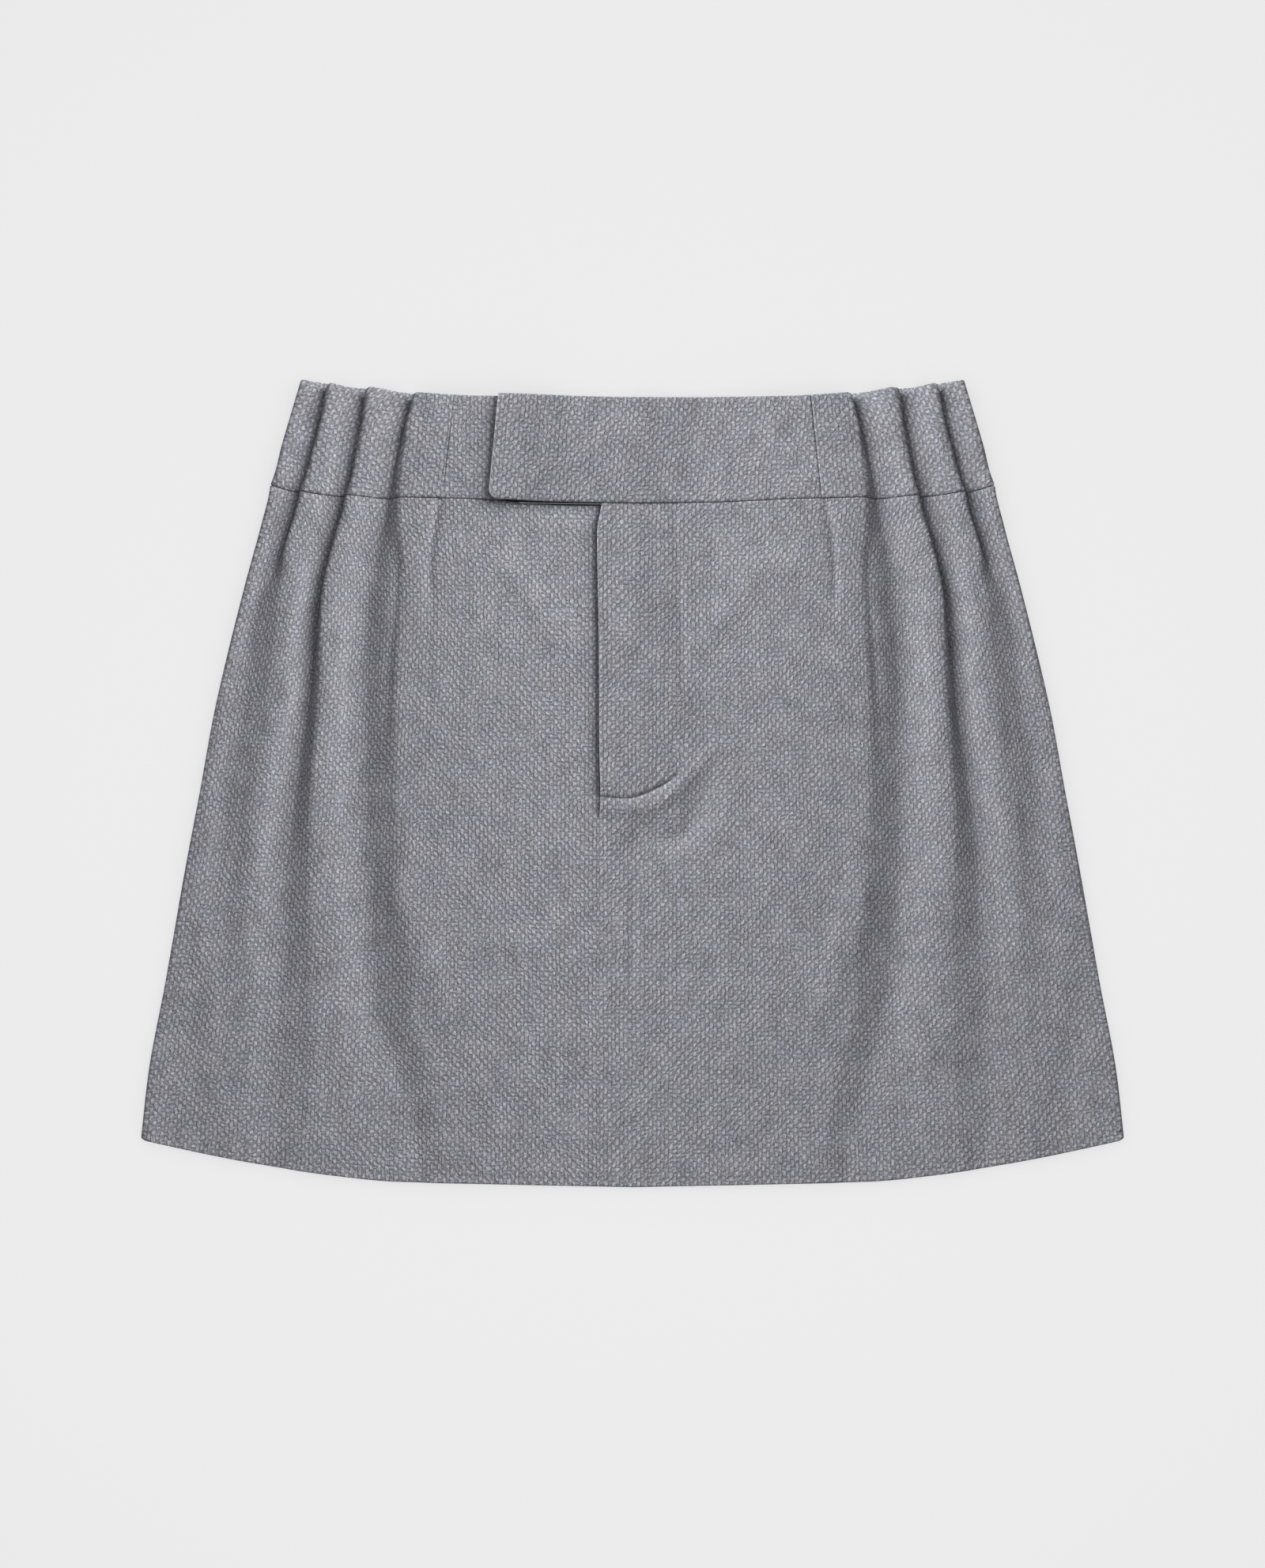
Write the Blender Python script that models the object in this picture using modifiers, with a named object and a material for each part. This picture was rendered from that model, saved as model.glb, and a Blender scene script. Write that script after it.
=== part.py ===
"""Pleated wool mini skirt, laid flat with its front up.

The waist points to +Y, the front faces +Z and the back lies on the plane z = 0. The front is lofted through
sections across the skirt: a plain panel, three knife pleats whose folds face the side, and the turn down to
the back. Sections follow one another along stations, from the hem (0) over the seam below the waistband (1)
to the waist edge (2). A section's points are (outwards from the centre, rise over the plain panel).
Lengths are in millimetres until the meshes are made.
"""

import math

import bmesh
import bpy
import numpy as np

MM = 0.001
SKIRT = "pleated_mini_skirt"

# Cloth
BODY_WALL = 1.8
BAND_WALL = 2.4
LAY_GAP = 0.3
SEAM_GAP = 0.35
EDGE_GAP = 0.3
BODY_COLOUR = (0.246, 0.246, 0.270, 1.0)
BAND_COLOUR = (0.262, 0.262, 0.288, 1.0)
WOOL_ROUGHNESS = 0.95

# Edges in plan: distance from the centre, place along Y
HEM_EDGE = (
    (0.0, -204.6),
    (72.0, -203.0),
    (120.0, -201.8),
    (152.0, -198.6),
    (184.0, -193.8),
    (216.0, -187.8),
    (250.0, -180.4),
)
BAND_SEAM = (
    (0.0, 141.8),
    (43.0, 142.3),
    (79.0, 143.6),
    (115.0, 144.4),
    (140.0, 145.6),
    (160.0, 146.8),
    (174.0, 149.0),
    (184.0, 151.6),
)
WAIST_EDGE = (
    (0.0, 195.4),
    (76.0, 195.8),
    (104.0, 196.9),
    (127.0, 199.0),
    (147.0, 200.5),
    (160.0, 202.6),
    (168.0, 203.6),
)
HEM_CORNER_RADIUS = 3.2
# A layer that lies deeper in a pleat falls short of the face's edge by this share of its depth
LAYER_SHORTFALL = 0.12

# Side fold: station, half width, rise
SIDE_FOLD = (
    (0.00, 249.2, 0.0),
    (0.10, 245.2, 0.2),
    (0.24, 236.4, 0.5),
    (0.39, 227.6, 0.9),
    (0.53, 218.8, 1.4),
    (0.65, 211.6, 1.8),
    (0.75, 204.0, 2.2),
    (0.85, 195.6, 2.8),
    (0.94, 187.6, 3.3),
    (1.00, 183.0, 3.5),
    (1.40, 176.8, 3.5),
    (1.70, 172.2, 3.5),
    (2.00, 167.4, 3.5),
)
SIDE_TURN_RADIUS = 2.2

# Pleats: station, fold's distance from the centre, rise, angle that the cloth turns through, underlay depth
INNER_PLEAT = (
    (0.00, 102.0, 0.3, 4.0, 0.0),
    (0.08, 106.0, 0.4, 5.0, 0.0),
    (0.17, 118.0, 0.7, 7.0, 0.0),
    (0.29, 126.0, 0.9, 8.0, 0.0),
    (0.44, 132.0, 1.1, 10.0, 0.0),
    (0.60, 133.5, 1.4, 12.0, 0.0),
    (0.75, 128.0, 2.2, 22.0, 0.0),
    (0.83, 123.0, 3.6, 45.0, 0.0),
    (0.90, 122.0, 4.8, 90.0, 0.0),
    (0.95, 121.8, 5.8, 165.0, 3.0),
    (1.00, 121.4, 6.4, 180.0, 6.0),
    (1.40, 116.6, 6.4, 180.0, 6.0),
    (1.70, 113.6, 6.4, 180.0, 6.0),
    (2.00, 110.6, 6.4, 180.0, 5.5),
)
MIDDLE_PLEAT = (
    (0.00, 179.0, 0.4, 5.0, 0.0),
    (0.08, 178.0, 0.7, 7.0, 0.0),
    (0.17, 178.0, 1.1, 10.0, 0.0),
    (0.29, 174.0, 1.7, 15.0, 0.0),
    (0.39, 170.0, 2.4, 22.0, 0.0),
    (0.50, 168.0, 3.4, 32.0, 0.0),
    (0.62, 164.8, 4.6, 45.0, 0.0),
    (0.73, 163.6, 5.4, 62.0, 0.0),
    (0.80, 160.8, 5.8, 95.0, 0.0),
    (0.87, 154.4, 6.2, 160.0, 2.0),
    (0.93, 149.8, 6.4, 175.0, 4.5),
    (1.00, 143.0, 6.4, 180.0, 6.0),
    (1.40, 138.4, 6.4, 180.0, 6.0),
    (1.70, 135.0, 6.4, 180.0, 6.0),
    (2.00, 134.0, 6.4, 180.0, 5.5),
)
OUTER_PLEAT = (
    (0.00, 222.0, 0.1, 2.0, 0.0),
    (0.15, 220.0, 0.2, 3.0, 0.0),
    (0.30, 216.0, 0.5, 6.0, 0.0),
    (0.43, 209.0, 1.0, 10.0, 0.0),
    (0.52, 200.0, 1.6, 15.0, 0.0),
    (0.64, 191.6, 2.2, 22.0, 0.0),
    (0.78, 185.0, 3.2, 40.0, 0.0),
    (0.84, 180.6, 4.4, 80.0, 0.0),
    (0.88, 177.2, 5.4, 150.0, 1.0),
    (0.93, 172.4, 6.0, 172.0, 3.5),
    (1.00, 166.6, 6.4, 180.0, 5.5),
    (1.40, 159.8, 6.4, 180.0, 5.5),
    (1.70, 154.8, 6.4, 180.0, 5.0),
    (2.00, 152.4, 6.4, 180.0, 4.0),
)
PLEATS = (INNER_PLEAT, MIDDLE_PLEAT, OUTER_PLEAT)
STRAIGHT_SHARE = 0.35
FOOT_RUN = 0.8
CLIMB_SHARE = 0.6
RIDGE_SHARE = 0.8
ARC_STEPS = 4
CLIMB_STEPS = 4

# Front panels: the seam at the centre front, the fly's lap above it and the underlap beneath the fly
PANEL_POINTS = (35.0, 62.0, 90.0)
SEAM_RISE = 2.0
BODY_SEAM_LIFT = 0.7
BODY_SEAM_LIFT_FROM = 0.93
CENTRE_SEAM = 17.0
FLY_EDGE = 16.0
UNDERLAP_EDGE = 4.0
UNDERLAP_FROM = 0.61
FLY_FROM = 0.53
FLY_FULL = 0.60
FLY_LIFT = 2.3
FLY_SHAPE = ((-4.0, 1.0), (14.0, 0.75), (35.0, 0.12), (62.0, 0.0))

# Waistband: vertical seams and tab end, each at the band's lower and upper edge
BAND_SIDE_SEAM = (95.4, 89.8)
TAB_END = (72.2, 67.6)
TAB_LIFT = 2.7
TAB_SHAPE = (
    (60.0, 1.0),
    (35.0, 1.0),
    (14.0, 1.0),
    (-4.0, 1.0),
    (-16.0, 0.75),
    (-36.0, 0.12),
    (-60.0, 0.0),
    (-76.0, 0.0),
)
TAB_CORNER_RADIUS = 5.0
TAB_TOP_RISE = 1.0
LEFT_BAND_END = 2.0
LEFT_BAND_SHAPE = ((30.0, 0.0), (60.0, 0.0), (76.0, 0.15), (86.0, 0.5))

BODY_STATIONS = (0.0, 0.08, 0.17, 0.29, 0.41, 0.53, 0.60, 0.62, 0.72, 0.79, 0.84, 0.88, 0.92, 0.96, 1.0)
BAND_STATIONS = (1.0, 1.35, 1.7, 2.0)
BACK_STATIONS = (0.0, 0.2, 0.4, 0.6, 0.8, 1.0)
BACK_EDGE_POINTS = 13


def along(table, station, column=1):
    """A column of the table at the station, by a monotone cubic through its rows."""
    rows = np.array(table, float)
    x, y = rows[:, 0], rows[:, column]
    slopes = np.diff(y) / np.diff(x)
    tangents = np.zeros(len(x))
    tangents[0], tangents[-1] = slopes[0], slopes[-1]
    for i in range(1, len(x) - 1):
        if slopes[i - 1] * slopes[i] > 0:
            tangents[i] = 2 * slopes[i - 1] * slopes[i] / (slopes[i - 1] + slopes[i])
    i = int(np.clip(np.searchsorted(x, station) - 1, 0, len(x) - 2))
    step = x[i + 1] - x[i]
    t = float(np.clip((station - x[i]) / step, 0, 1))
    start = (1 + 2 * t) * (1 - t) ** 2 * y[i] + t * (1 - t) ** 2 * step * tangents[i]
    return start + t * t * (3 - 2 * t) * y[i + 1] + t * t * (t - 1) * step * tangents[i + 1]


def ease(value, low, high):
    """0 below low, 1 above high and a soft step between them."""
    t = min(max((value - low) / (high - low), 0.0), 1.0)
    return t * t * (3 - 2 * t)


def mix(start, end, share):
    return start + (end - start) * share


def plain_curve(controls):
    """A soft curve that starts and ends at the first and last control: a uniform cubic B-spline."""
    c = np.array(controls, float)
    c = np.vstack([2 * c[0] - c[1], c, 2 * c[-1] - c[-2]])
    points = []
    for step in np.arange(0.0, len(controls) - 0.9, 0.5):
        i = min(int(step), len(c) - 4)
        t = step - i
        weights = ((1 - t) ** 3, 3 * t**3 - 6 * t * t + 4, -3 * t**3 + 3 * t * t + 3 * t + 1, t**3)
        points.append(tuple(sum(weight * c[i + k] for k, weight in enumerate(weights)) / 6))
    return points


def climb(start, end):
    """Soft step from one point to another, without its start."""
    shares = np.linspace(0.0, 1.0, CLIMB_STEPS + 1)[1:]
    return [(mix(start[0], end[0], share), mix(start[1], end[1], ease(share, 0, 1))) for share in shares]


def pleat_fold(pleat, station, wall):
    """Points from the nose of a pleat, round the fold, along the underlay and round the tuck, to its foot.

    A turn of 180 degrees is a folded pleat. A smaller one is the same cloth opened to a step."""
    fold, rise, degrees, depth = [along(pleat, station, column) for column in range(1, 5)]
    turn = math.radians(degrees)
    straight = depth + STRAIGHT_SHARE * rise * (math.sin(turn) if degrees > 90 else 1 / math.sin(turn))
    radius = (rise - straight * math.sin(turn)) / (2 * (1 - math.cos(turn)))
    run = 2 * radius * math.sin(turn) + straight * math.cos(turn)
    nose = fold - mix(run, radius + wall / 2, (1 - math.cos(turn)) / 2)
    tuck = nose + run
    angles = [turn * i / ARC_STEPS for i in range(ARC_STEPS + 1)]
    points = [(nose + radius * math.sin(a), rise - radius * (1 - math.cos(a))) for a in angles]
    points += [(tuck - radius * math.sin(a), radius * (1 - math.cos(a))) for a in reversed(angles)]
    return points + [(fold + FOOT_RUN, 0.0)]


def side_turn(station, base, wall):
    """Points of the side fold, from its crown down to the plane on which the skirt lies."""
    middle, rise = along(SIDE_FOLD, station) - wall / 2, along(SIDE_FOLD, station, 2)
    turn = []
    for i in range(4):
        angle = math.radians(30 * i)
        across, down = math.sin(angle), 1 - math.cos(angle)
        turn.append((middle + SIDE_TURN_RADIUS * (across - 1), rise - SIDE_TURN_RADIUS * down))
    return turn + [(middle, -base)]


def pleated_section(plain, station, base, wall):
    """Points (outwards, rise, whether it is in a pleat) of a section that starts with the plain points."""
    folds = [pleat_fold(pleat, station, wall) for pleat in PLEATS] + [side_turn(station, base, wall)]
    points = [(x, rise, False) for x, rise in plain]
    ridge = 0.0
    for i, fold in enumerate(folds):
        start, end = points[-1][:2], fold[0]
        top = (mix(start[0], end[0], CLIMB_SHARE), max(end[1], RIDGE_SHARE * ridge))
        rising = climb(start, top)
        points += [(x, rise, i > 0) for x, rise in rising + [((top[0] + end[0]) / 2, (top[1] + end[1]) / 2)]]
        points += [(x, rise, True) for x, rise in fold]
        ridge = end[1] if station < BODY_SEAM_LIFT_FROM else 0.0
    return points


def body_base(station):
    """Middle of the body's plain panel; it is lifted where it meets the thicker waistband."""
    lift = BODY_SEAM_LIFT * ease(station, BODY_SEAM_LIFT_FROM, 1.0)
    return BODY_WALL + LAY_GAP + BODY_WALL / 2 + lift


def band_base():
    return BAND_WALL + LAY_GAP + BAND_WALL / 2


def panel_end(station):
    return PANEL_POINTS[-1], SEAM_RISE * ease(station, 0.8, 1.0)


def left_panel(station):
    start = UNDERLAP_EDGE if station > UNDERLAP_FROM else CENTRE_SEAM + EDGE_GAP
    between = [(mix(start, PANEL_POINTS[0], share), 0.0) for share in (0.0, 0.5)]
    return plain_curve(between + [(x, 0.0) for x in PANEL_POINTS[:-1]] + [panel_end(station)])


def right_panel(station):
    over = ease(station, FLY_FROM, FLY_FULL)
    start = (-mix(CENTRE_SEAM, FLY_EDGE, over), FLY_LIFT * over)
    return plain_curve([start] + [(x, share * FLY_LIFT * over) for x, share in FLY_SHAPE] + [panel_end(station)])


def shortfall(rise, in_pleat):
    """How far a layer's edge stays behind the edge of the face."""
    return LAYER_SHORTFALL * (INNER_PLEAT[-1][2] - rise) if in_pleat else 0.0


def corner(distance, radius):
    """How far a rounded corner has left its edge, at this distance from the other edge."""
    inside = max(radius - distance, 0.0)
    return radius - math.sqrt(max(radius * radius - inside * inside, 0.0))


def edge_places(section, table, offset):
    return [along(table, abs(x)) - shortfall(rise, in_pleat) + offset for x, rise, in_pleat in section]


def body_rows(panel):
    """Rows of points (outwards, along Y, up) of a front, from the hem to the seam below the waistband."""
    sections = [pleated_section(panel(s), s, body_base(s), BODY_WALL) for s in BODY_STATIONS]
    half_width = SIDE_FOLD[0][1]
    low = [
        along(HEM_EDGE, abs(x)) + corner(half_width - abs(x), HEM_CORNER_RADIUS) for x, rise, in_pleat in sections[0]
    ]
    high = edge_places(sections[-1], BAND_SEAM, -SEAM_GAP / 2)
    rows = []
    for station, section in zip(BODY_STATIONS, sections):
        places = [mix(start, end, station) for start, end in zip(low, high)]
        rows.append([(x, y, body_base(station) + rise) for (x, rise, _), y in zip(section, places)])
    return rows


def band_rows(sections):
    """Rows of points of a waistband piece, from its lower to its upper edge."""
    low = edge_places(sections[0], BAND_SEAM, SEAM_GAP / 2)
    high = edge_places(sections[-1], WAIST_EDGE, 0.0)
    rows = []
    for station, section in zip(BAND_STATIONS, sections):
        places = [mix(start, end, station - 1) for start, end in zip(low, high)]
        rows.append([(x, y, band_base() + rise) for (x, rise, _), y in zip(section, places)])
    return rows


def band_side_section(station):
    start = mix(*BAND_SIDE_SEAM, station - 1) + EDGE_GAP / 2
    return pleated_section([(start, SEAM_RISE)], station, band_base(), BAND_WALL)


def left_band_section(station):
    end = mix(*BAND_SIDE_SEAM, station - 1) - EDGE_GAP / 2
    controls = [(LEFT_BAND_END, 0.0)] + [(x, share * SEAM_RISE) for x, share in LEFT_BAND_SHAPE]
    return [(x, rise, False) for x, rise in plain_curve(controls + [(end, SEAM_RISE)])]


def tab_band_section(station):
    """Section of the right front band, measured towards the left: the tab's end first."""
    end = mix(*TAB_END, station - 1)
    seam = -mix(*BAND_SIDE_SEAM, station - 1) + EDGE_GAP / 2
    controls = [(end - run, TAB_LIFT) for run in (0.0, 1.2, 2.8, 6.0)]
    controls += [(x, share * TAB_LIFT) for x, share in TAB_SHAPE]
    controls += [(mix(seam, TAB_SHAPE[-1][0], 0.5), SEAM_RISE / 2), (seam, SEAM_RISE)]
    return [(x, rise, False) for x, rise in plain_curve(controls)]


def tab_band_rows():
    """The right front band, with the tab's lower corner rounded off and its upper edge a little proud."""
    rows = []
    for station, row in zip(BAND_STATIONS, band_rows([tab_band_section(s) for s in BAND_STATIONS])):
        share, end = station - 1, row[0][0]
        rounding = [corner(end - x, TAB_CORNER_RADIUS) * (1 - share) for x, y, z in row]
        proud = [TAB_TOP_RISE * ease(x, 0.0, end) * share for x, y, z in row]
        rows.append([(x, y + a + b, z) for (x, y, z), a, b in zip(row, rounding, proud)])
    return rows


def place(name, data, colour):
    """The piece's object, in its own wool."""
    wool = bpy.data.materials.new(name + "_wool")
    wool.use_nodes = True
    shader = wool.node_tree.nodes["Principled BSDF"]
    shader.inputs["Base Color"].default_value = colour
    shader.inputs["Roughness"].default_value = WOOL_ROUGHNESS
    shader.inputs["Metallic"].default_value = 0.0
    data.materials.append(wool)
    obj = bpy.data.objects.new(name, data)
    bpy.data.collections[SKIRT].objects.link(obj)
    return obj


def cloth_wall(name, rows, side, wall, colour):
    """A wall of cloth whose middle runs through the rows; side is 1 for +X and -1 for -X."""
    mesh = bpy.data.meshes.new(name)
    sheet = bmesh.new()
    grid = [[sheet.verts.new((side * x * MM, y * MM, z * MM)) for x, y, z in row] for row in rows]
    for lower, upper in zip(grid, grid[1:]):
        for i in range(len(lower) - 1):
            corners = (lower[i], lower[i + 1], upper[i + 1], upper[i])
            sheet.faces.new(corners if side > 0 else corners[::-1])
    sheet.to_mesh(mesh)
    sheet.free()
    mesh.shade_smooth()
    cloth = place(name, mesh, colour).modifiers.new("cloth", "SOLIDIFY")
    cloth.thickness = wall * MM
    cloth.offset = 0.0
    cloth.use_even_offset = True


def flat_layer(name, right_side, wall, colour):
    """A flat layer on the plane z = 0. right_side runs from the middle of its lower edge to that of its upper."""
    outline = right_side + [(-x, y) for x, y in reversed(right_side) if x > 0]
    curve = bpy.data.curves.new(name, "CURVE")
    curve.dimensions = "2D"
    curve.fill_mode = "BOTH"
    curve.extrude = wall * MM / 2
    edge = curve.splines.new("POLY")
    edge.points.add(len(outline) - 1)
    for point, (x, y) in zip(edge.points, outline):
        point.co = (x * MM, y * MM, 0.0, 1.0)
    edge.use_cyclic_u = True
    place(name, curve, colour).location.z = wall * MM / 2


def edge_run(table, half_width, offset=0.0):
    """Points of an edge, from the centre to half_width."""
    return [(x, along(table, x) + offset) for x in np.linspace(0.0, half_width, BACK_EDGE_POINTS)]


def back_width(station):
    """Half width of the back, which lies inside the front's side fold."""
    return along(SIDE_FOLD, station) - BAND_WALL - LAY_GAP


def layer_outline(lower, upper, stations):
    """Outline's right side: the lower edge, the side and the upper edge."""
    side = []
    for station in stations[1:-1]:
        share = (station - stations[0]) / (stations[-1] - stations[0])
        side.append((back_width(station), mix(lower[-1][1], upper[-1][1], share)))
    return lower + side + upper[::-1]


def body_back_outline():
    hem = edge_run(HEM_EDGE, back_width(0.0))
    seam = edge_run(BAND_SEAM, back_width(1.0), -SEAM_GAP / 2)
    return layer_outline(hem, seam, BACK_STATIONS)


def band_back_outline():
    seam = edge_run(BAND_SEAM, back_width(1.0), SEAM_GAP / 2)
    waist = edge_run(WAIST_EDGE, back_width(2.0), -SEAM_GAP)
    return layer_outline(seam, waist, BAND_STATIONS)


def main():
    for obj in list(bpy.data.objects):
        bpy.data.objects.remove(obj, do_unlink=True)
    bpy.context.scene.collection.children.link(bpy.data.collections.new(SKIRT))

    flat_layer("body_back", body_back_outline(), BODY_WALL, BODY_COLOUR)
    flat_layer("band_back", band_back_outline(), BAND_WALL, BAND_COLOUR)
    cloth_wall("body_front_left", body_rows(left_panel), -1, BODY_WALL, BODY_COLOUR)
    cloth_wall("body_front_right", body_rows(right_panel), 1, BODY_WALL, BODY_COLOUR)
    band_side = band_rows([band_side_section(station) for station in BAND_STATIONS])
    cloth_wall("band_side_left", band_side, -1, BAND_WALL, BAND_COLOUR)
    cloth_wall("band_side_right", band_side, 1, BAND_WALL, BAND_COLOUR)
    left_band = band_rows([left_band_section(station) for station in BAND_STATIONS])
    cloth_wall("band_front_left", left_band, -1, BAND_WALL, BAND_COLOUR)
    cloth_wall("band_front_right", tab_band_rows(), -1, BAND_WALL, BAND_COLOUR)


main()
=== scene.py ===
"""Pleated wool mini skirt, laid flat on a pale table and seen from straight above.

The skirt's waist points to +Y and its front faces +Z. Each cut piece of cloth is a closed wall round a middle
surface: sections across the skirt, one for each station from the hem (0) over the seam below the waistband (1)
to the waist edge (2). Lengths in the tables are in millimetres, outwards from the centre line.
"""

import math

import bpy
import numpy as np
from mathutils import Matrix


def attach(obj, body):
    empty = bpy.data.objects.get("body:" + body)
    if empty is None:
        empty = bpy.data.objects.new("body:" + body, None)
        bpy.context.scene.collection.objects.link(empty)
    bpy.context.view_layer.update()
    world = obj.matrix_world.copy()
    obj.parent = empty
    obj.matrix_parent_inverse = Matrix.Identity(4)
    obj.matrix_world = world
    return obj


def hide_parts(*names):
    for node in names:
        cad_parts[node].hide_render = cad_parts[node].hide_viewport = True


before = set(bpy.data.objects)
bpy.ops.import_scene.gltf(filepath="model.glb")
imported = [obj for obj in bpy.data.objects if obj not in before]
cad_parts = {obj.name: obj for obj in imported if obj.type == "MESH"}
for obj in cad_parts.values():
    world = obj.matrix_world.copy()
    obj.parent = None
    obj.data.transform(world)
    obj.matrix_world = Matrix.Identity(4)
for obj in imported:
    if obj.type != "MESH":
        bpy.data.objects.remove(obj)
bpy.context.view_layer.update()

bl_info = {
    "name": "Pleated Mini Skirt",
    "version": (1, 0, 0),
    "blender": (4, 5, 0),
    "location": "3D View > Sidebar > Skirt",
    "description": "Makes the cloth pieces, wool and studio of a pleated mini skirt laid flat",
    "category": "Object",
}

MM = 0.001

# Edges in plan: distance from the centre line, place along Y
HEM_EDGE = (
    (0.0, -204.6),
    (72.0, -203.0),
    (120.0, -201.8),
    (152.0, -198.6),
    (184.0, -193.8),
    (216.0, -187.8),
    (250.0, -180.4),
)
BAND_SEAM = (
    (0.0, 141.8),
    (43.0, 142.3),
    (79.0, 143.6),
    (115.0, 144.4),
    (140.0, 145.6),
    (160.0, 146.8),
    (174.0, 149.0),
    (184.0, 151.6),
)
WAIST_EDGE = (
    (0.0, 195.4),
    (76.0, 195.8),
    (104.0, 197.2),
    (127.0, 199.9),
    (147.0, 201.6),
    (160.0, 203.8),
    (168.0, 204.6),
)
HEM_CORNER_RADIUS = 3.2

# How much shorter a layer in a pleat is for each millimetre that it lies below the face: at a seam, at the waist
LAYER_SHORTFALL, WAIST_NOTCH = 0.12, 0.2
# Drop of the waist edge beside each fold, over this width
LOBE_DROP, LOBE_WIDTH = 2.2, 9.0
LOBE_SOFTEN_PASSES = 4
FOLD_TOLERANCE = 0.3

# Gaps between body and waistband, between pieces of one row, and between the layers that lie on each other
SEAM_GAP, EDGE_GAP, LAY_GAP = 0.1, 0.01, 0.3

# Side fold: station, half width, rise
SIDE_FOLD = (
    (0.00, 249.2, 0.0),
    (0.10, 245.4, 0.3),
    (0.24, 236.7, 0.7),
    (0.39, 227.9, 1.2),
    (0.53, 219.2, 1.6),
    (0.65, 212.0, 1.9),
    (0.75, 204.4, 2.1),
    (0.85, 196.0, 2.4),
    (0.94, 187.9, 2.7),
    (1.00, 183.3, 2.8),
    (1.40, 177.1, 2.8),
    (1.70, 172.4, 2.8),
    (2.00, 167.6, 2.8),
)
SIDE_TURN_RADIUS = 0.7
SIDE_TURN_STEPS, SIDE_DOWN_STEPS = 7, 3

# Pleats: station, fold's distance from the centre, rise, angle that the cloth turns through, underlay depth,
# level of the valley beside the fold
INNER_PLEAT = (
    (0.00, 108.0, 0.8, 6.0, 0.0, 0.0),
    (0.08, 112.0, 1.6, 8.0, 0.0, 0.0),
    (0.17, 122.0, 2.6, 10.0, 0.0, 0.0),
    (0.25, 130.0, 3.4, 12.0, 0.0, 0.0),
    (0.33, 134.0, 4.0, 13.0, 0.0, 0.0),
    (0.44, 136.0, 4.8, 16.0, 0.0, 0.4),
    (0.60, 137.2, 5.8, 18.0, 0.0, 0.8),
    (0.75, 137.0, 6.6, 21.0, 0.0, 1.0),
    (0.84, 135.0, 6.8, 23.0, 0.0, 1.0),
    (0.90, 132.0, 6.8, 25.0, 0.0, 0.8),
    (0.95, 127.4, 6.4, 34.0, 0.0, 0.6),
    (1.00, 123.4, 5.8, 46.0, 0.0, 0.5),
    (1.20, 120.8, 5.2, 60.0, 0.0, 0.4),
    (1.50, 117.2, 4.8, 80.0, 0.0, 0.3),
    (1.80, 113.0, 4.8, 130.0, 1.5, 0.1),
    (2.00, 110.8, 4.8, 165.0, 3.5, 0.0),
)
MIDDLE_PLEAT = (
    (0.00, 181.0, 0.8, 4.0, 0.0, 0.0),
    (0.08, 181.0, 1.4, 6.0, 0.0, 0.0),
    (0.17, 180.5, 2.2, 8.0, 0.0, 0.0),
    (0.29, 179.0, 3.0, 12.0, 0.0, 0.0),
    (0.39, 177.5, 3.8, 16.0, 0.0, 0.0),
    (0.50, 174.0, 4.6, 26.0, 0.0, 0.0),
    (0.60, 169.0, 5.4, 38.0, 0.0, 0.0),
    (0.70, 162.5, 5.8, 62.0, 0.0, 0.0),
    (0.80, 158.6, 5.8, 100.0, 0.5, 0.0),
    (0.87, 155.8, 5.8, 140.0, 2.5, 0.0),
    (0.93, 151.4, 5.6, 170.0, 5.0, 0.0),
    (1.00, 145.2, 5.2, 180.0, 6.0, 0.0),
    (1.40, 139.8, 4.8, 180.0, 6.0, 0.0),
    (1.70, 136.8, 4.6, 180.0, 6.0, 0.0),
    (2.00, 135.0, 4.6, 180.0, 5.5, 0.0),
)
OUTER_PLEAT = (
    (0.00, 222.0, 0.5, 2.0, 0.0, 0.0),
    (0.15, 222.0, 1.0, 4.0, 0.0, 0.0),
    (0.30, 218.0, 2.0, 7.0, 0.0, 0.4),
    (0.43, 212.0, 3.0, 10.0, 0.0, 0.8),
    (0.52, 208.0, 3.8, 12.0, 0.0, 1.2),
    (0.64, 200.0, 4.6, 14.0, 0.0, 1.4),
    (0.78, 194.0, 5.0, 17.0, 0.0, 1.4),
    (0.84, 190.0, 5.0, 22.0, 0.0, 1.0),
    (0.88, 182.0, 5.0, 40.0, 0.0, 0.6),
    (0.93, 174.0, 5.0, 115.0, 2.0, 0.0),
    (1.00, 168.4, 4.8, 180.0, 5.5, 0.0),
    (1.40, 161.6, 4.6, 180.0, 5.5, 0.0),
    (1.70, 157.4, 4.4, 180.0, 5.0, 0.0),
    (2.00, 154.6, 4.4, 180.0, 4.0, 0.0),
)
PLEATS = (INNER_PLEAT, MIDDLE_PLEAT, OUTER_PLEAT)
PLEAT_RISE = 6.4
# Angle in degrees, share of the pleat's way down that is straight
STRAIGHT_SHARES = ((0.0, 0.7), (40.0, 0.6), (90.0, 0.35), (180.0, 0.35))
# Angle in degrees, the upper roll's share of both rolls
ROLL_SHARES = ((0.0, 0.5), (30.0, 0.55), (60.0, 0.75), (110.0, 0.65), (160.0, 0.5), (180.0, 0.5))
FOOT_RUN = 0.8
ROLL_STEPS = 9
SOFTEN_PASSES = 3

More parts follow.
